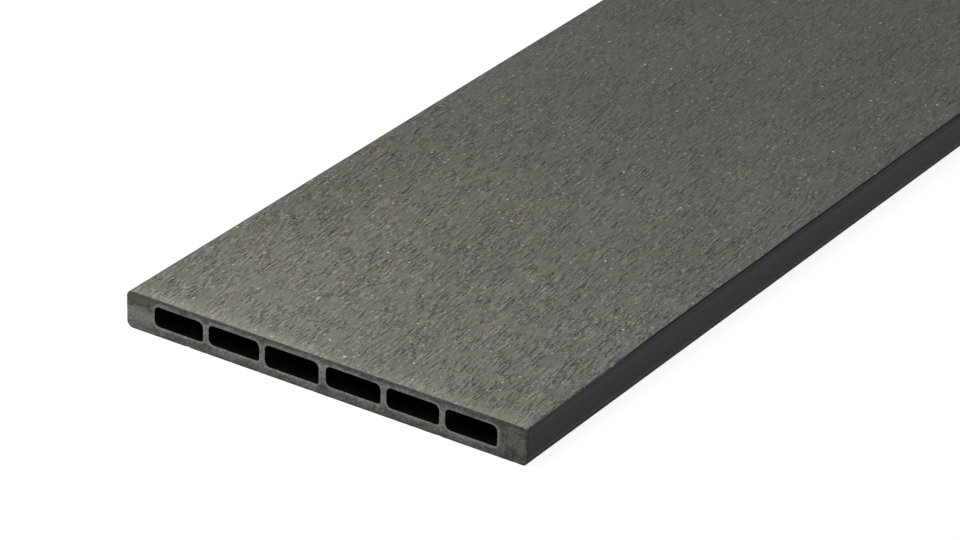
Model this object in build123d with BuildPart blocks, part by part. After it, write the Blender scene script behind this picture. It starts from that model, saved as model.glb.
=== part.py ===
"""Hollow composite fence board: one extruded plank with six cells running through it.

The board lies flat with its brushed show face up. +X runs across the board, +Y along it and +Z
up, and the origin is the middle of its underside. The cut end at -Y shows the cells.
"""

from build123d import *
import os

# Driving dimensions, in millimetres
board_length = 1800.0
board_width = 200.0
board_thickness = 17.5
arris_radius = 2.2  # rounding of the four long edges

solid_edge = 14.4  # solid stretch between a long edge and the outer cell
show_wall = 3.4  # over the cells, under the brushed show face
back_wall = 4.8  # under the cells
web = 2.9  # between two cells of one half
centre_web = 3.6  # between the two halves

outer_cell_width = 25.1
second_cell_width = 25.8
cell_corner_radius = 2.0

# Sizes that follow from those above
cell_height = board_thickness - show_wall - back_wall
cell_middle_height = back_wall + cell_height / 2
middle_cell_width = (
    (board_width - centre_web) / 2 - solid_edge - outer_cell_width - second_cell_width - 2 * web
)
cell_rounding = min(cell_corner_radius, 0.49 * cell_height)


with BuildPart() as board:
    with BuildSketch(Plane.XZ) as section:
        RectangleRounded(
            board_width, board_thickness, arris_radius, align=(Align.CENTER, Align.MIN)
        )
        # The cells of both halves, from the centre web outward
        near_side = centre_web / 2
        for cell_width in (middle_cell_width, second_cell_width, outer_cell_width):
            middle = near_side + cell_width / 2
            with Locations((middle, cell_middle_height), (-middle, cell_middle_height)):
                RectangleRounded(cell_width, cell_height, cell_rounding, mode=Mode.SUBTRACT)
            near_side += cell_width + web
    extrude(amount=board_length / 2, both=True)

board.part.label = "board"

os.makedirs("parts", exist_ok=True)
export_step(board.part, "parts/board.step")
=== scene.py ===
"""Looks of a hollow composite fence board that lies on the floor with its show face up.

The board is one extruded piece: brushed lengthwise on the show face and the back, smooth off the
die on its long edges, sawn at its ends, with six dark cells running through it. Metres, in the
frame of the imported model: +X across the board, +Y along it, +Z out of the show face.
"""

import math
import random

import bpy
import numpy as np
from mathutils import Matrix, Vector, geometry, noise


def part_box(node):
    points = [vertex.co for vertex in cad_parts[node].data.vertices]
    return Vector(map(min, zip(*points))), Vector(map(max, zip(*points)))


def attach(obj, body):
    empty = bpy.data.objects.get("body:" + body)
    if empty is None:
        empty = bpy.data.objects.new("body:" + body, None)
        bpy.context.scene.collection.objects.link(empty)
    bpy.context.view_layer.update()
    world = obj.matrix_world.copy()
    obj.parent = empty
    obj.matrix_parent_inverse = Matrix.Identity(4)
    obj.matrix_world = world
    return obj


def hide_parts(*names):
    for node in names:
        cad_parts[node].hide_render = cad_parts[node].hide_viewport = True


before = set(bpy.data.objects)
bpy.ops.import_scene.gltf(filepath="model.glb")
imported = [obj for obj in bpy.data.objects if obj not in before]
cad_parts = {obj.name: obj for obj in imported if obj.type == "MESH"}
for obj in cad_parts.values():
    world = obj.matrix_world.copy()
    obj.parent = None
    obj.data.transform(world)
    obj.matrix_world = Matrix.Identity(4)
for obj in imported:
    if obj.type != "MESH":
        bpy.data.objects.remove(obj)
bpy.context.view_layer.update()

MM = 0.001
SEED = 7

# The section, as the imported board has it
HALF_WIDTH, HALF_LENGTH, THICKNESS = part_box("board")[1]
ARRIS_RADIUS = 2.2 * MM
SOLID_EDGE = 14.4 * MM
SHOW_WALL = 3.4 * MM
BACK_WALL = 4.8 * MM
WEB = 2.9 * MM
CENTRE_WEB = 3.6 * MM
OUTER_CELL = 25.1 * MM
SECOND_CELL = 25.8 * MM
MIDDLE_CELL = HALF_WIDTH - CENTRE_WEB / 2 - SOLID_EDGE - OUTER_CELL - SECOND_CELL - 2 * WEB
CELL_RADIUS = 2.0 * MM
CELL_LOW, CELL_HIGH = BACK_WALL, THICKNESS - SHOW_WALL

# Roundings of the board's own corners, in the same order as the cells' below
ARRIS_SHARES = (1.0, 1.0, 1.2, 1.35)

# How the die leaves each cell, from the left: floor and ceiling off their nominal height, in mm,
# and the rounding of its corners from bottom right anticlockwise, as a share of the nominal one
CELL_FLOORS = (0.06, 0.34, -0.62, 0.18, 0.11, -0.45)
CELL_CEILINGS = (-0.10, 0.03, 0.05, 0.05, 0.0, -0.28)
CORNER_SHARES = (0.7, 1.35, 1.15, 1.3)

# Segments of the visible mesh: bottom, right, top and left side of the section, then one corner
BOARD_STEPS = (32, 5, 150, 5), 5
COLLAR_STEPS = (250, 16, 250, 16), 6
CELL_STEPS = (26, 8, 26, 8), 4
RING_SPACING = 5.0 * MM
CAP_SPACING = 1.1 * MM
SHARP_ANGLE = math.radians(50)

# How far the mesh's rings lie from the ends: the board's first, the collar's and the cells'
FIRST_RING_GAP = 5.5 * MM
COLLAR_GAPS = (1.6 * MM, 3.0 * MM)
CELL_RING_GAPS = (2 * MM, 6 * MM, 20 * MM, 80 * MM, 300 * MM)

# How far in and how far from the end a worn rim's rings lie, as shares of its wear
ARRIS_PROFILE = ((1.0, 0.0), (0.3, 0.3), (0.0, 1.0))
MOUTH_PROFILE = ((1.0, 0.0), (0.3, 0.35), (0.0, 1.0))

# Spread of the loose points of a sawn face, and their gaps to its rim and to the mouths, as
# shares of their spacing
CAP_JITTER = 0.3
RIM_CLEARANCE = 0.9
MOUTH_CLEARANCE = 0.8

# The triangulation keeps what lies inside the rim, and joins points that are nearer than this
CDT_INSIDE = 1
CDT_EPSILON = 1e-6

# Relief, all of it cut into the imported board's faces
BRUSH_DEPTH = 0.16 * MM
DIE_WAVE = 0.03 * MM
SAW_DEPTH = 0.10 * MM
ARRIS_WEAR = 0.55 * MM
SIDE_WEAR_SHARE = 0.3
MOUTH_WEAR = 0.38 * MM

# Sizes of the relief's features, across, along and up, and for a rim in its own direction
FINE_BRUSH = (2.8 * MM, 22 * MM, 2.8 * MM)
BROAD_BRUSH = (9 * MM, 60 * MM, 9 * MM)
DIE_DRAWN = (30 * MM, 140 * MM, 30 * MM)
SAW_ROUGH = (1.6 * MM, 1, 2.6 * MM)
SAW_CHATTER = (2.2 * MM, 1, 30 * MM)
RAGGED_RIM = (1.7 * MM, 1, 1)
RIM_NICKS = (5.3 * MM, 1, 1)


def smooth_step(value, low, high):
    share = np.clip((value - low) / (high - low), 0.0, 1.0)
    return share * share * (3 - 2 * share)


def drawn_noise(points, sizes, seed):
    """Noise from -1 to 1 at each point, with features as large as sizes says along each axis."""
    scaled = points / np.array(sizes)
    return np.array([noise.noise((x, y, z + seed)) for x, y, z in scaled])


def outline(x_low, x_high, z_low, z_high, radii, steps):
    """Points, outward normals and place from 0 to 1 round a rounded rectangle in (x, z).

    It runs anticlockwise as seen from -Y, from the left end of the bottom side, and so do radii,
    from the bottom right corner.
    """
    side_steps, corner_steps = steps
    corners = [
        (x_high, z_low, -1, 1),
        (x_high, z_high, -1, -1),
        (x_low, z_high, 1, -1),
        (x_low, z_low, 1, 1),
    ]
    centres = [
        Vector((x + radius * x_in, z + radius * z_in))
        for radius, (x, z, x_in, z_in) in zip(radii, corners)
    ]
    points, normals = [], []
    for side, centre in enumerate(centres):
        start_angle = math.radians(90 * side - 90)
        straight = Vector((math.cos(start_angle), math.sin(start_angle)))
        start = centres[side - 1] + radii[side - 1] * straight
        stop = centre + radii[side] * straight
        for step in range(side_steps[side]):
            points.append(start.lerp(stop, step / side_steps[side]))
            normals.append(straight)
        for step in range(corner_steps):
            angle = start_angle + math.pi / 2 * step / corner_steps
            normal = Vector((math.cos(angle), math.sin(angle)))
            points.append(centre + radii[side] * normal)
            normals.append(normal)
    points, normals = np.array(points), np.array(normals)
    lengths = np.linalg.norm(np.roll(points, -1, axis=0) - points, axis=1)
    places = np.concatenate([[0.0], np.cumsum(lengths)[:-1]]) / lengths.sum()
    return points, normals, places


def cell_spans():
    """The lowest and highest x and z of each cell, from the left edge to the right."""
    sides, near_side = [], CENTRE_WEB / 2
    for width in (MIDDLE_CELL, SECOND_CELL, OUTER_CELL):
        sides += [(near_side, near_side + width), (-near_side - width, -near_side)]
        near_side += width + WEB
    return [
        (left, right, CELL_LOW + floor * MM, CELL_HIGH + ceiling * MM)
        for (left, right), floor, ceiling in zip(sorted(sides), CELL_FLOORS, CELL_CEILINGS)
    ]


def gap_to_rectangle(points, x_low, x_high, z_low, z_high, radius):
    """Distance of each (x, z) point outside a rounded rectangle, negative inside it."""
    middle = np.array([(x_low + x_high) / 2, (z_low + z_high) / 2])
    half = np.array([(x_high - x_low) / 2, (z_high - z_low) / 2]) - radius
    beyond = np.abs(points - middle) - half
    outside = np.linalg.norm(np.maximum(beyond, 0.0), axis=1)
    return outside + np.minimum(beyond.max(axis=1), 0.0) - radius


def gap_to_cells(points):
    """Distance of each (x, z) point to the nearest cell, negative inside one."""
    gaps = [gap_to_rectangle(points, *span, CELL_RADIUS) for span in cell_spans()]
    return np.min(gaps, axis=0)


def inside_loop(points, loop):
    """Which (x, z) points lie inside a closed loop of corners."""
    inside = np.zeros(len(points), bool)
    for (x_a, z_a), (x_b, z_b) in zip(loop, np.roll(loop, -1, axis=0)):
        if z_a == z_b:
            continue
        crosses = (z_a > points[:, 1]) != (z_b > points[:, 1])
        at = x_a + (points[:, 1] - z_a) * (x_b - x_a) / (z_b - z_a)
        inside ^= crosses & (points[:, 0] < at)
    return inside


class Shell:
    """Collects the points, the faces and the faces' materials of one closed mesh."""

    def __init__(self):
        self.points, self.faces, self.kinds = [], [], []

    def add_points(self, points):
        first = len(self.points)
        self.points.extend(points)
        return np.arange(first, first + len(points))

    def add_face(self, corners, kind, flip):
        self.faces.append(corners[::-1] if flip else corners)
        self.kinds.append(kind)

    def join_rings(self, ring_a, ring_b, kind, flip):
        """Quads between two rings with the same number of points."""
        for i in range(len(ring_a)):
            j = (i + 1) % len(ring_a)
            self.add_face([ring_a[i], ring_b[i], ring_b[j], ring_a[j]], kind, flip)

    def zip_rings(self, ring_a, places_a, ring_b, places_b, kind, flip):
        """Triangles between two rings with different numbers of points."""
        a = b = 0
        ends_a = np.append(places_a[1:], 1.0)
        ends_b = np.append(places_b[1:], 1.0)
        while a < len(ring_a) or b < len(ring_b):
            here_a, here_b = ring_a[a % len(ring_a)], ring_b[b % len(ring_b)]
            if b == len(ring_b) or (a < len(ring_a) and ends_a[a] <= ends_b[b]):
                a += 1
                corners = [here_a, here_b, ring_a[a % len(ring_a)]]
            else:
                b += 1
                corners = [here_a, here_b, ring_b[b % len(ring_b)]]
            self.add_face(corners, kind, flip)


# Material slots of the mesh
SKIN, SAWN, CELL = range(3)


def skin_depth(points, normals):
    """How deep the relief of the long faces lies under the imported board's surface."""
    brushed = smooth_step(np.abs(normals[:, 1]), 0.55, 0.98)
    fine = drawn_noise(points, FINE_BRUSH, SEED)
    broad = drawn_noise(points, BROAD_BRUSH, SEED + 20)
    brush = BRUSH_DEPTH * (0.5 + 0.36 * fine + 0.24 * broad)
    wave = DIE_WAVE * (0.5 + 0.5 * drawn_noise(points, DIE_DRAWN, SEED + 40))
    return np.maximum(brushed * brush + (1 - brushed) * wave, 0.0)


def skin_ring(section, y, inset=0.0):
    """Points of one ring of the long faces, with its relief.

    y and inset are one number for the whole ring, or one for each of its points.
    """
    flat, normals, _ = section
    points = np.column_stack([flat[:, 0], np.full(len(flat), y), flat[:, 1]])
    depth = skin_depth(points, normals) + inset
    points[:, 0] -= normals[:, 0] * depth
    points[:, 2] -= normals[:, 1] * depth
    return points


def worn_width(places, perimeter, largest, seed):
    """Width of a sawn edge's small ragged bevel round a ring, with a few deeper nicks."""
    round_ring = np.column_stack([places * perimeter, np.zeros(len(places)), np.zeros(len(places))])
    ragged = drawn_noise(round_ring, RAGGED_RIM, seed)
    nicks = drawn_noise(round_ring, RIM_NICKS, seed + 9)
    return largest * (0.35 + 0.3 * np.abs(ragged) + 0.9 * smooth_step(nicks, 0.25, 0.7))


def cap_points(rng):
    """Loose (x, z) points inside the sawn face, clear of its outline and of the cells."""
    across = np.arange(-HALF_WIDTH, HALF_WIDTH, CAP_SPACING)
    up = np.arange(0.0, THICKNESS, CAP_SPACING)
    grid = np.array([(x, z) for x in across for z in up])
    grid += [[rng.uniform(-CAP_JITTER, CAP_JITTER) * CAP_SPACING for _ in range(2)] for _ in grid]
    edge = -gap_to_rectangle(grid, -HALF_WIDTH, HALF_WIDTH, 0.0, THICKNESS, ARRIS_RADIUS)
    off_rim = edge > RIM_CLEARANCE * CAP_SPACING
    off_mouths = gap_to_cells(grid) > MOUTH_CLEARANCE * CAP_SPACING
    return grid[off_rim & off_mouths]


def add_cap(shell, loops, end, rng):
    """The sawn face between the outer ring and the six mouths. end is -1 or 1."""
    rims = np.concatenate(loops)
    border = np.array([shell.points[i] for i in rims])[:, [0, 2]]
    loose = cap_points(rng)
    flat = np.concatenate([border, loose])
    edges, first = [], 0
    for loop in loops:
        edges += [(first + i, first + (i + 1) % len(loop)) for i in range(len(loop))]
        first += len(loop)
    _, _, triangles, sources, _, _ = geometry.delaunay_2d_cdt(
        [Vector(p / MM) for p in flat], edges, [], CDT_INSIDE, CDT_EPSILON
    )
    places = np.column_stack([loose[:, 0], np.full(len(loose), end * HALF_LENGTH), loose[:, 1]])
    rough = drawn_noise(places, SAW_ROUGH, SEED + 60 + end)
    chatter = drawn_noise(places, SAW_CHATTER, SEED + 70 + end)
    places[:, 1] -= end * SAW_DEPTH * (0.45 + 0.3 * rough + 0.25 * chatter)
    inner = shell.add_points(places)
    names = np.concatenate([rims, inner])
    ids_of = [[sources[i][0] for i in triangle] for triangle in triangles]
    middles = flat[np.array(ids_of)].mean(axis=1)
    in_cell, first = np.zeros(len(middles), bool), len(loops[0])
    for loop in loops[1:]:
        in_cell |= inside_loop(middles, flat[first : first + len(loop)])
        first += len(loop)
    for ids, hollow in zip(ids_of, in_cell):
        if hollow:
            continue
        corners = flat[ids]
        spread = np.cross(corners[1] - corners[0], corners[2] - corners[0])
        shell.add_face([names[i] for i in ids], SAWN, (spread < 0) != (end > 0))


def add_end_collar(shell, section, end):
    """Fine rings from the sawn arris to where the board's own rings begin."""
    _, normals, places = section
    perimeter = 2 * (2 * HALF_WIDTH + THICKNESS)
    wear = worn_width(places, perimeter, ARRIS_WEAR, SEED + 80 + end)
    wear *= np.where(np.abs(normals[:, 0]) > 0.9, SIDE_WEAR_SHARE, 1.0)
    rings = []
    for inset, run in ARRIS_PROFILE:
        y = end * (HALF_LENGTH - run * wear)
        rings.append(shell.add_points(skin_ring(section, y, inset * wear)))
    for gap in COLLAR_GAPS:
        rings.append(shell.add_points(skin_ring(section, end * (HALF_LENGTH - gap))))
    for index, (outer, inner) in enumerate(zip(rings, rings[1:])):
        shell.join_rings(outer, inner, SAWN if index == 0 else SKIN, end > 0)
    return rings[0], rings[-1]


def add_cell(shell, span, number):
    """One cell's wall from mouth to mouth, and the two rings that its mouths start with."""
    left, right, low, high = span
    radii = [CELL_RADIUS * share for share in CORNER_SHARES]
    flat, normals, places = outline(*span, radii, CELL_STEPS)
    perimeter = 2 * (right - left + high - low)
    rings = []
    for end in (-1, 1):
        wear = worn_width(places, perimeter, MOUTH_WEAR, SEED + 90 + number * 3 + end)
        own = []
        for inset, run in MOUTH_PROFILE:
            grown = flat + normals * (inset * wear)[:, None]
            own.append((grown, end * (HALF_LENGTH - run * wear)))
        for gap in CELL_RING_GAPS:
            own.append((flat, np.full(len(flat), end * (HALF_LENGTH - gap))))
        rings += own if end < 0 else own[::-1]
    named = [shell.add_points(np.column_stack([at[:, 0], y, at[:, 1]])) for at, y in rings]
    last = len(named) - 2
    for index, (near, far) in enumerate(zip(named, named[1:])):
        shell.join_rings(near, far, SAWN if index in (0, last) else CELL, True)
    return named[0], named[-1]


def build_board():
    """The whole board as one closed mesh: long faces, sawn ends and the walls of its cells."""
    shell = Shell()
    rng = random.Random(SEED)
    radii = [ARRIS_RADIUS * share for share in ARRIS_SHARES]
    size = (-HALF_WIDTH, HALF_WIDTH, 0.0, THICKNESS, radii)
    section, collar = outline(*size, BOARD_STEPS), outline(*size, COLLAR_STEPS)

    first_y = HALF_LENGTH - FIRST_RING_GAP
    count = round(2 * first_y / RING_SPACING) + 1
    ring_places = np.linspace(-first_y, first_y, count)
    rings = [shell.add_points(skin_ring(section, y)) for y in ring_places]
    for near, far in zip(rings, rings[1:]):
        shell.join_rings(near, far, SKIN, False)

    mouths = [add_cell(shell, span, number) for number, span in enumerate(cell_spans())]
    for end, ring in ((-1, rings[0]), (1, rings[-1])):
        rim, inner = add_end_collar(shell, collar, end)
        shell.zip_rings(inner, collar[2], ring, section[2], SKIN, end > 0)
        loops = [rim] + [pair[0 if end < 0 else 1] for pair in mouths]
        add_cap(shell, loops, end, rng)

    mesh = bpy.data.meshes.new("fence_board")
    mesh.from_pydata([tuple(p) for p in shell.points], [], shell.faces)
    mesh.polygons.foreach_set("material_index", shell.kinds)
    mesh.polygons.foreach_set("use_smooth", [True] * len(shell.faces))
    flat = np.array(shell.points)[:, [0, 2]]
    gap = mesh.attributes.new("mouth_gap", "FLOAT", "POINT")
    gap.data.foreach_set("value", (gap_to_cells(flat) / MM).astype(np.float32))
    mesh.validate()
    mesh.set_sharp_from_angle(angle=SHARP_ANGLE)
    board = bpy.data.objects.new("fence_board", mesh)
    bpy.context.scene.collection.objects.link(board)
    return board


class Nodes:
    """A material's node tree, with short calls for the nodes that repeat."""

    def __init__(self, name):
        self.material = bpy.data.materials.new(name)
        self.material.use_nodes = True
        self.tree = self.material.node_tree
        self.tree.nodes.clear()
        place = self.tree.nodes.new("ShaderNodeTexCoord").outputs["Object"]
        self.place = self.vector("SCALE", place, scale=1 / MM)

    def link(self, source, target):
        if isinstance(source, bpy.types.NodeSocket):
            self.tree.links.new(source, target)
        else:
            target.default_value = source

    def vector(self, operation, a, b=None, scale=None):
        node = self.tree.nodes.new("ShaderNodeVectorMath")
        node.operation = operation
        self.link(a, node.inputs[0])
        if b is not None:
            self.link(b, node.inputs[1])
        if scale is not None:
            self.link(scale, node.inputs["Scale"])
        return node.outputs[0]

    def maths(self, operation, *values):
        node = self.tree.nodes.new("ShaderNodeMath")
        node.operation = operation
        for value, socket in zip(values, node.inputs):
            self.link(value, socket)
        return node.outputs[0]

    def axes(self):
        node = self.tree.nodes.new("ShaderNodeSeparateXYZ")
        self.link(self.place, node.inputs[0])
        return node.outputs

    def attribute(self, name):
        node = self.tree.nodes.new("ShaderNodeAttribute")
        node.attribute_name = name
        return node.outputs["Fac"]

    def noise(self, sizes, detail, roughness, seed, bend=0.0, shift=None):
        """Noise about 0.5 with features of the given sizes in millimetres, moved by shift."""
        node = self.tree.nodes.new("ShaderNodeTexNoise")
        node.noise_dimensions = "4D"
        place = self.place if shift is None else self.vector("ADD", self.place, shift)
        self.link(self.vector("DIVIDE", place, sizes), node.inputs["Vector"])
        node.inputs["W"].default_value = SEED + seed
        node.inputs["Scale"].default_value = 1.0
        node.inputs["Detail"].default_value = detail
        node.inputs["Roughness"].default_value = roughness
        node.inputs["Distortion"].default_value = bend
        return node.outputs[0]

    def specks(self, sizes, seed):
        """Distance to the nearest of the specks scattered over (x, y), and its random number."""
        node = self.tree.nodes.new("ShaderNodeTexVoronoi")
        node.voronoi_dimensions = "2D"
        shifted = self.vector("ADD", self.place, (seed, seed, 0))
        self.link(self.vector("DIVIDE", shifted, (*sizes, 1)), node.inputs["Vector"])
        node.inputs["Scale"].default_value = 1.0
        chance = self.tree.nodes.new("ShaderNodeSeparateColor")
        self.link(node.outputs["Color"], chance.inputs[0])
        return node.outputs["Distance"], chance.outputs[0]

    def scattered(self, sizes, seed, share, radius):
        """1 inside the few specks that show, 0 elsewhere. radius is a share of the sizes."""
        away, chance = self.specks(sizes, seed)
        largest = self.step(chance, 1 - share, 1.0, 0.5 * radius, radius)
        inside = self.step(self.maths("DIVIDE", away, largest), 1.0, 0.55)
        return self.maths("MULTIPLY", inside, self.maths("GREATER_THAN", chance, 1 - share))

    def step(self, value, low, high, start=0.0, end=1.0):
        """A smooth step from start to end as value goes from low to high."""
        node = self.tree.nodes.new("ShaderNodeMapRange")
        node.interpolation_type = "SMOOTHSTEP"
        for number, amount in enumerate((value, low, high, start, end)):
            self.link(amount, node.inputs[number])
        return node.outputs[0]

    def mix(self, share, first, second, blend="MIX"):
        node = self.tree.nodes.new("ShaderNodeMix")
        node.data_type = "RGBA"
        node.blend_type = blend
        self.link(share, node.inputs[0])
        for colour, socket in ((first, node.inputs[6]), (second, node.inputs[7])):
            self.link((*colour, 1.0) if isinstance(colour, tuple) else colour, socket)
        return node.outputs[2]

    def tone(self, colour, factor):
        """The colour made lighter or darker by a factor that varies over the surface."""
        grey = self.tree.nodes.new("ShaderNodeCombineXYZ")
        for socket in grey.inputs:
            self.link(factor, socket)
        return self.mix(1.0, colour, grey.outputs[0], "MULTIPLY")

    def bump(self, height, distance):
        node = self.tree.nodes.new("ShaderNodeBump")
        node.inputs["Strength"].default_value = 1.0
        node.inputs["Distance"].default_value = distance
        self.link(height, node.inputs["Height"])
        return node.outputs[0]

    def finish(self, colour, roughness, normal, specular):
        shader = self.tree.nodes.new("ShaderNodeBsdfPrincipled")
        self.link(colour, shader.inputs["Base Color"])
        self.link(roughness, shader.inputs["Roughness"])
        self.link(normal, shader.inputs["Normal"])
        shader.inputs["Specular IOR Level"].default_value = specular
        output = self.tree.nodes.new("ShaderNodeOutputMaterial")
        self.link(shader.outputs[0], output.inputs["Surface"])
        return self.material


# Colours, linear
BRUSHED_LEFT = (0.1105, 0.1076, 0.0930)
BRUSHED_RIGHT = (0.1055, 0.1071, 0.0930)
GREENISH = (0.1050, 0.1093, 0.0915)
BROWNISH = (0.1205, 0.1047, 0.0910)
PALE_FLECK = (0.42, 0.41, 0.36)
# The long edges' die skin: darker than the brushed faces, and darker still as painted shade of the
# sides
SHADED_DIE_SKIN = (0.0170, 0.0184, 0.0172)
SHADED_DIE_BLUE = (0.0136, 0.0168, 0.0184)
# A painted highlight along the lower arris of the long edges
PAINTED_HIGHLIGHT_GREY = (0.085, 0.087, 0.082)
SAWN_GREY = (0.092, 0.092, 0.083)
SAWN_RIM = (0.145, 0.145, 0.132)
SAWN_DARK = (0.050, 0.050, 0.041)
SAWN_PIT = (0.024, 0.024, 0.019)
SAWN_VIOLET = (0.132, 0.126, 0.120)
SAWN_OLIVE = (0.082, 0.083, 0.060)
# Near-black painted shade, inside the cells and along the top arris
SHADE_BLACK = (0.0025, 0.0025, 0.0020)

# Shader values
BRUSHED_ROUGHNESS, EDGE_ROUGHNESS, SKIN_SPECULAR = 0.75, 0.48, 0.08
SAWN_ROUGHNESS, SAWN_SPECULAR = 0.8, 0.15
CELL_ROUGHNESS, CELL_SPECULAR = 0.75, 0.0
BUMP_DEPTH = 0.2 * MM
CELL_BUMP_DEPTH = 0.05 * MM

# The brush ran a little askew, by this many radians
BRUSH_LEAN = 0.09

# Sizes of the brushed relief, across, along and up, and the way from a furrow to its lip, in mm
FURROW = (1.0, 4.8, 1.0)
SCRATCH = (0.8, 13, 0.8)
GRAIN = (0.85, 1.0, 0.85)
LIP_OFFSET = (0.75, 0.3, 0)

# Shares of the brushed relief, and its level where none of them shows
FURROW_SHARE = 0.9
LIP_SHARE = 0.65
SCRATCH_SHARE = -0.62
RELIEF_LEVEL = -0.87

# How much the relief's painted shade and highlights darken the colour, near the sawn end and far from
# it
RELIEF_PAINT_NEAR, RELIEF_PAINT_FAR = 0.62, 0.41
DARKEST_TONE = 0.25

# Heights on the long edges, in mm: the painted highlight line and where the painted shade under it
# ends
HIGHLIGHT_LINE_HEIGHT = 3.25
ARRIS_SHADE_LOW, ARRIS_SHADE_HIGH = 2.4, 2.85

# How far outside the brushing's end the painted black shade line runs, in mm
SHADE_LINE_OFFSET = 0.34

# Sizes of the sawn grain, in mm, and the height of the cells' middle
GRIT = (0.65, 0.65, 0.65)
TORN = (1.6, 1, 1.3)
CLOUD = (7, 9, 4.5)
CELL_MIDDLE = (CELL_LOW + CELL_HIGH) / 2 / MM

# Where the solid edges of the sawn face begin and end, in mm from its middle
EDGE_INNER, EDGE_OUTER = 85, 88


def brushing(n, to_end, to_side):
    """How far from the side the brushing stops, and the share of it at each point.

    It stops on the arris, further out near a sawn end, along a line that wanders a little.
    """
    wander = n.noise((40, 30, 40), 4, 0.65, 3)
    reach = n.maths("MULTIPLY_ADD", wander, 0.8, n.step(to_end, 40, 100, 0.45, 1.25))
    ragged = n.maths("MULTIPLY_ADD", n.noise((1.5, 2.5, 1.5), 2, 0.6, 5), 2.4, -1.2)
    ragged = n.maths("MULTIPLY", ragged, n.step(to_end, 40, 110, 1.0, 0.12))
    past = n.maths("SUBTRACT", to_side, reach)
    return reach, n.step(n.maths("ADD", past, ragged), -0.2, 0.2)


def brushed_relief(n, to_end):
    """Height of the brushed relief, and of the lit lips alone.

    Short furrows, each with a lip beside it, a few long scratches, and a grain between them.
    """
    lean = n.vector("CROSS_PRODUCT", n.place, (0, 0, BRUSH_LEAN))
    beside = n.vector("ADD", lean, LIP_OFFSET)
    furrow = n.step(n.noise(FURROW, 1.0, 0.5, 11, 0.15, lean), 0.40, 0.62)
    lip = n.step(n.noise(FURROW, 1.0, 0.5, 11, 0.15, beside), 0.44, 0.30)
    scratch = n.step(n.noise(SCRATCH, 1.0, 0.5, 13, 0.1, lean), 0.58, 0.68)
    grain = n.step(n.noise(GRAIN, 2, 0.55, 17), 0.33, 0.68)
    relief = n.maths("MULTIPLY_ADD", furrow, FURROW_SHARE, RELIEF_LEVEL)
    relief = n.maths("ADD", grain, relief)
    relief = n.maths("MULTIPLY_ADD", lip, LIP_SHARE, relief)
    relief = n.maths("MULTIPLY_ADD", scratch, SCRATCH_SHARE, relief)
    patches = n.step(n.noise((9, 11, 9), 2, 0.5, 23), 0.36, 0.58, 0.4, 1.15)
    rubbed = n.step(to_end, 0, 14, 0.65, 1.0)
    return n.maths("MULTIPLY", relief, n.maths("MULTIPLY", patches, rubbed)), lip


def brushed_colour(n, x, to_end, relief):
    """Faint hue patches, painted shade in the furrows and painted highlights on their lips, pale fibre
    ends, dark pits and a paler end.
    """
    colour = n.mix(n.step(x, -100, 100), BRUSHED_LEFT, BRUSHED_RIGHT)
    colour = n.mix(n.step(n.noise((12, 17, 12), 3, 0.55, 31), 0.47, 0.66), colour, GREENISH)
    colour = n.mix(n.step(n.noise((7, 11, 7), 3, 0.55, 37), 0.52, 0.72), colour, BROWNISH)
    blotches = n.step(n.noise((38, 80, 38), 3, 0.55, 43), 0.3, 0.7, 0.93, 1.07)
    # Painted shade in the relief's furrows and painted highlights on its lips, stronger near the sawn
    # end
    relief_light_and_shade = n.maths("MULTIPLY", relief, n.step(to_end, 60, 320, RELIEF_PAINT_NEAR, RELIEF_PAINT_FAR))
    tone = n.maths("MAXIMUM", n.maths("ADD", relief_light_and_shade, blotches), DARKEST_TONE)
    colour = n.tone(colour, tone)

    pale = n.scattered((13, 15), 5, 0.2, 0.058)
    faint = n.maths("MULTIPLY", n.scattered((4.2, 5.2), 27, 0.25, 0.17), 0.42)
    colour = n.mix(n.maths("MAXIMUM", pale, faint), colour, PALE_FLECK)
    pit = n.maths("MULTIPLY", n.scattered((4.6, 6.0), 71, 0.30, 0.15), 0.55)
    colour = n.mix(pit, colour, SAWN_DARK)
    return n.tone(colour, n.step(to_end, 0, 11, 1.33, 1.0))


def edge_colour(n, z, drawn):
    """The long edges: painted light makes them paler towards the top, with a fine painted highlight
    line above painted shade at the lower arris.
    """
    colour = n.mix(n.step(n.noise((60, 50, 7), 3, 0.55, 47), 0.35, 0.65), SHADED_DIE_SKIN, SHADED_DIE_BLUE)
    # Painted light: the edge paler towards the top, as if lit from above
    painted_light_upwards = n.maths("MULTIPLY", n.step(z, 2, 15, 0.85, 1.4), n.step(z, 12, 15.5, 1.0, 1.6))
    colour = n.tone(colour, painted_light_upwards)
    colour = n.tone(colour, n.step(drawn, 0.3, 0.7, 0.92, 1.08))
    # Painted highlight: a broken pale line where the lower arris would mirror the floor
    off_line = n.maths("ABSOLUTE", n.maths("SUBTRACT", z, HIGHLIGHT_LINE_HEIGHT))
    broken = n.step(n.noise((2, 9, 9), 3, 0.6, 59), 0.36, 0.56, 0.3, 0.9)
    painted_highlight_line = n.maths("MULTIPLY", n.step(off_line, 0.42, 0.12), broken)
    colour = n.mix(painted_highlight_line, colour, PAINTED_HIGHLIGHT_GREY)
    # Painted shade: the lower arris darkened under the highlight line
    return n.tone(colour, n.step(z, ARRIS_SHADE_LOW, ARRIS_SHADE_HIGH, 0.12, 1.0))


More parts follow.
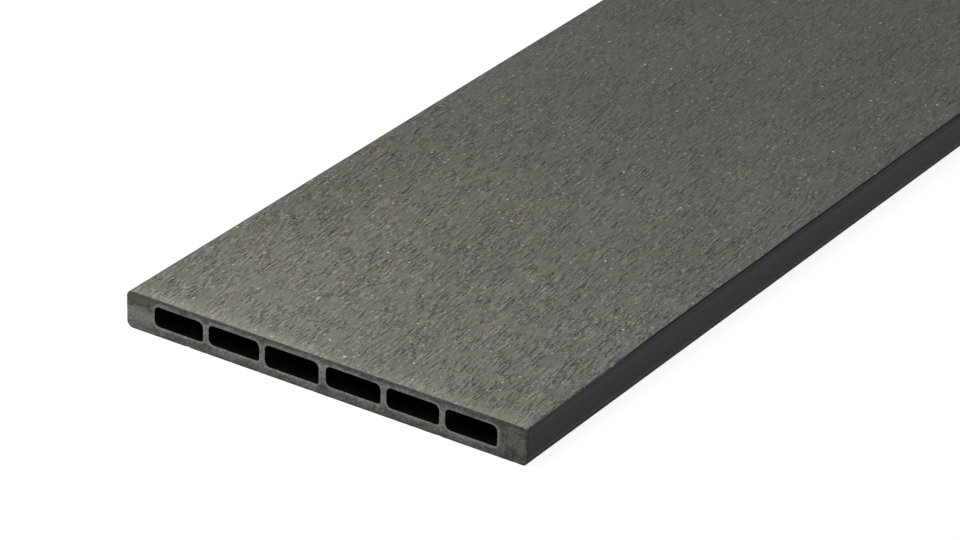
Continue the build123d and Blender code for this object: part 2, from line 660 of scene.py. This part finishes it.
def skin_material():
    """The long faces: brushed on top and below, smooth on the edges, whose darker die skin also
    carries painted shade.
    """
    n = Nodes("brushed_and_die_smooth")
    x, y, z = n.axes()
    to_end = n.maths("SUBTRACT", HALF_LENGTH / MM, n.maths("ABSOLUTE", y))
    to_side = n.maths("SUBTRACT", HALF_WIDTH / MM, n.maths("ABSOLUTE", x))
    reach, brushed = brushing(n, to_end, to_side)
    relief, lip = brushed_relief(n, to_end)
    drawn = n.noise((1.3, 70, 0.9), 2, 0.55, 53)
    colour = n.mix(brushed, edge_colour(n, z, drawn), brushed_colour(n, x, to_end, relief))

    # A painted black shade line along the top arris, just outside where the brushing stops, away from
    # the cut end
    shade_line_place = n.maths("SUBTRACT", reach, SHADE_LINE_OFFSET)
    off_line = n.maths("ABSOLUTE", n.maths("SUBTRACT", to_side, shade_line_place))
    line = n.maths("MULTIPLY", n.step(off_line, 0.5, 0.36), n.step(to_end, 55, 100))
    colour = n.mix(line, colour, SHADE_BLACK)

    roughness = n.step(brushed, 0, 1, EDGE_ROUGHNESS, BRUSHED_ROUGHNESS)
    height = n.maths("SUBTRACT", relief, n.maths("MULTIPLY", lip, 0.3))
    height = n.maths("MULTIPLY", height, brushed)
    height = n.maths("MULTIPLY_ADD", drawn, 0.05, height)
    return n.finish(colour, roughness, n.bump(height, BUMP_DEPTH), SKIN_SPECULAR)


def sawn_material():
    """The cut ends: rough and grey, paler round the cells, darker under the show face."""
    n = Nodes("sawn_end")
    x, _, z = n.axes()
    gap = n.attribute("mouth_gap")
    grit = n.noise(GRIT, 3, 0.6, 61)
    torn = n.noise(TORN, 3, 0.65, 73, 0.6)
    smear = n.step(n.noise(CLOUD, 3, 0.6, 67), 0.3, 0.7, -0.8, 0.8)
    show_face = THICKNESS / MM

    # Torn grey with pale rims round the cells, wider beside them than over and under them
    beside_cell = n.step(n.maths("ABSOLUTE", n.maths("SUBTRACT", z, CELL_MIDDLE)), 5.2, 3.6)
    rim_width = n.maths("MULTIPLY_ADD", beside_cell, 1.2, 1.5)
    rim = n.step(n.maths("ADD", gap, smear), rim_width, 0.5)
    rim = n.maths("MULTIPLY", rim, n.step(torn, 0.3, 0.6, 0.55, 1.0))
    colour = n.mix(n.step(n.noise((9, 9, 5), 2, 0.5, 75), 0.4, 0.62), SAWN_GREY, SAWN_DARK)
    colour = n.mix(n.step(torn, 0.5, 0.68, 0.0, 0.6), colour, SAWN_RIM)
    colour = n.mix(rim, colour, SAWN_RIM)

    # A dark band with crumbs under the show face, and a dark foot
    band = n.step(n.maths("MULTIPLY_ADD", smear, 0.9, z), show_face - 2.3, show_face - 1.3)
    band = n.maths("MULTIPLY", band, n.step(torn, 0.62, 0.45, 0.5, 1.0))
    colour = n.mix(band, colour, SAWN_DARK)
    crumbs = n.step(n.noise((1.1, 1, 0.7), 2, 0.6, 77), 0.5, 0.62)
    crumbs = n.maths("MULTIPLY", crumbs, n.step(z, 15.3, 16.2))
    colour = n.mix(n.maths("MULTIPLY", crumbs, 0.6), colour, SAWN_PIT)
    foot = n.step(n.maths("MULTIPLY_ADD", smear, 0.4, z), 1.5, 0.7, 0.0, 0.7)
    colour = n.mix(foot, colour, SAWN_DARK)
    tone = n.maths("ADD", n.step(grit, 0.32, 0.68, -0.32, 0.32), n.step(torn, 0.36, 0.5, 0.76, 1.0))
    colour = n.tone(colour, tone)

    # The solid left edge is paler low down and the middle web's foot darker; painted shade darkens the
    # right one
    smeared = n.maths("ADD", z, smear)
    left = n.step(x, -EDGE_INNER, -EDGE_OUTER)
    violet = n.maths("MULTIPLY", left, n.step(smeared, 12, 9, 0.0, 0.4))
    olive = n.maths("MULTIPLY", left, n.step(smeared, 11.5, 14, 0.0, 0.5))
    colour = n.mix(olive, n.mix(violet, colour, SAWN_VIOLET), SAWN_OLIVE)
    low_left = n.step(smeared, 13.5, 9.5, 0.76, 1.2)
    low_left = n.maths("MULTIPLY", low_left, n.step(smeared, 2.5, 5, 0.8, 1.0))
    low_left = n.maths("SUBTRACT", low_left, 1.0)
    colour = n.tone(colour, n.maths("MULTIPLY_ADD", left, low_left, 1.0))
    # Painted shade: the right solid edge darker, and its outermost 1.4 mm darker still
    colour = n.tone(colour, n.step(x, EDGE_INNER, EDGE_OUTER, 1.0, 0.8))
    colour = n.tone(colour, n.step(x, 98.4, 99.8, 1.0, 0.75))
    middle = n.step(n.maths("ABSOLUTE", x), 3.4, 2.4)
    web_foot = n.step(smeared, 9.5, 7.5, 0.16, -0.3)
    colour = n.tone(colour, n.maths("MULTIPLY_ADD", middle, web_foot, 1.0))

    height = n.maths("MULTIPLY_ADD", n.noise((0.9, 1, 6), 2, 0.5, 71), 0.5, grit)
    height = n.maths("MULTIPLY_ADD", torn, 1.4, height)
    return n.finish(colour, SAWN_ROUGHNESS, n.bump(height, BUMP_DEPTH), SAWN_SPECULAR)


def cell_material():
    """The walls of the cells, painted near-black as the shade inside them, and drawn lengthwise by the
    die.
    """
    n = Nodes("cell_wall")
    drawn = n.noise((0.9, 60, 0.9), 2, 0.5, 83)
    colour = n.tone(SHADE_BLACK, n.step(drawn, 0.3, 0.7, 0.7, 1.3))
    return n.finish(colour, CELL_ROUGHNESS, n.bump(drawn, CELL_BUMP_DEPTH), CELL_SPECULAR)


def shown_white(tree, plain, white_strength, share):
    """Mixes a plain shader with white for the rays that see it straight, mirrored or through glass."""
    path = tree.nodes.new("ShaderNodeLightPath")
    seen = path.outputs["Is Camera Ray"]
    for name in ("Is Glossy Ray", "Is Transmission Ray"):
        either = tree.nodes.new("ShaderNodeMath")
        either.operation = "MAXIMUM"
        tree.links.new(seen, either.inputs[0])
        tree.links.new(path.outputs[name], either.inputs[1])
        seen = either.outputs[0]
    part = tree.nodes.new("ShaderNodeMath")
    part.operation = "MULTIPLY"
    part.inputs[1].default_value = share
    tree.links.new(seen, part.inputs[0])
    white = tree.nodes.new("ShaderNodeEmission")
    white.inputs["Strength"].default_value = white_strength
    mix = tree.nodes.new("ShaderNodeMixShader")
    tree.links.new(part.outputs[0], mix.inputs[0])
    tree.links.new(plain, mix.inputs[1])
    tree.links.new(white.outputs[0], mix.inputs[2])
    return mix.outputs[0]


FLOOR_REACH = 60.0
FLOOR_GAP = 0.2 * MM
FLOOR_GREY = 0.55
FLOOR_WHITE = 1.25
FLOOR_WHITE_SHARE = 0.72
AMBIENT = 0.42


def make_floor():
    """A wide pale floor that keeps the board's shadow."""
    signs = ((-1, -1), (1, -1), (1, 1), (-1, 1))
    corners = [(x * FLOOR_REACH, y * FLOOR_REACH, -FLOOR_GAP) for x, y in signs]
    mesh = bpy.data.meshes.new("floor")
    mesh.from_pydata(corners, [], [(0, 1, 2, 3)])
    floor = bpy.data.objects.new("floor", mesh)
    bpy.context.scene.collection.objects.link(floor)
    material = bpy.data.materials.new("pale_floor")
    material.use_nodes = True
    tree = material.node_tree
    tree.nodes.clear()
    plain = tree.nodes.new("ShaderNodeBsdfDiffuse")
    plain.inputs["Color"].default_value = (FLOOR_GREY, FLOOR_GREY, FLOOR_GREY, 1)
    output = tree.nodes.new("ShaderNodeOutputMaterial")
    shown = shown_white(tree, plain.outputs[0], FLOOR_WHITE, FLOOR_WHITE_SHARE)
    tree.links.new(shown, output.inputs["Surface"])
    mesh.materials.append(material)


def make_world():
    """Even light from all round, which the camera sees as white."""
    world = bpy.data.worlds.new("studio")
    bpy.context.scene.world = world
    world.use_nodes = True
    tree = world.node_tree
    tree.nodes.clear()
    plain = tree.nodes.new("ShaderNodeBackground")
    plain.inputs["Color"].default_value = (1, 1, 1, 1)
    plain.inputs["Strength"].default_value = AMBIENT
    output = tree.nodes.new("ShaderNodeOutputWorld")
    shown = shown_white(tree, plain.outputs[0], 1.0, 1.0)
    tree.links.new(shown, output.inputs["Surface"])


def aim(thing, place, target, roll=0.0):
    """Puts a lamp or the camera at place and points it at target, turned by roll degrees."""
    back = (Vector(place) - Vector(target)).normalized()
    turn = back.to_track_quat("Z", "Y").to_matrix().to_4x4()
    spin = Matrix.Rotation(math.radians(roll), 4, "Z")
    thing.matrix_world = Matrix.Translation(place) @ turn @ spin


KEY_STRENGTH = 0.9
KEY_SPREAD = math.radians(50)
KEY_PLACE, KEY_AIM = (-1.2, -1.3, 2.2), (0, 0, 0)
SOFTBOX_POWER = 1.65
SOFTBOX_SIZE = 0.25
SOFTBOX_PLACE, SOFTBOX_AIM = (-0.07, -1.03, 0.36), (-0.01, -0.86, 0)


def make_lamps():
    """A broad key light from the upper left, and a softbox over the near sawn end."""
    key = bpy.data.lights.new("key", "SUN")
    key.energy = KEY_STRENGTH
    key.angle = KEY_SPREAD
    softbox = bpy.data.lights.new("softbox", "AREA")
    softbox.shape = "DISK"
    softbox.size = SOFTBOX_SIZE
    softbox.energy = SOFTBOX_POWER
    lamps = ((key, KEY_PLACE, KEY_AIM), (softbox, SOFTBOX_PLACE, SOFTBOX_AIM))
    for light, place, target in lamps:
        lamp = bpy.data.objects.new(light.name, light)
        bpy.context.scene.collection.objects.link(lamp)
        aim(lamp, place, target)


# The photograph's viewpoint, above and to the right of the cut end
CAMERA_PLACE = (0.9647, -2.2710, 0.9318)
CAMERA_AIM = (0.0089, -0.7979, 0.0175)
CAMERA_ROLL = 1.64
CAMERA_LENS = 176.01
CAMERA_SENSOR = 36.0


def make_camera():
    camera = bpy.data.objects.new("camera", bpy.data.cameras.new("camera"))
    camera.data.lens = CAMERA_LENS
    camera.data.sensor_width = CAMERA_SENSOR
    bpy.context.scene.collection.objects.link(camera)
    aim(camera, CAMERA_PLACE, CAMERA_AIM, CAMERA_ROLL)
    bpy.context.scene.camera = camera


def main():
    board = build_board()
    for material in (skin_material(), sawn_material(), cell_material()):
        board.data.materials.append(material)
    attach(board, "root")
    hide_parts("board")

    make_floor()
    make_world()
    make_lamps()
    make_camera()
    bpy.context.scene.view_settings.view_transform = "Standard"


main()
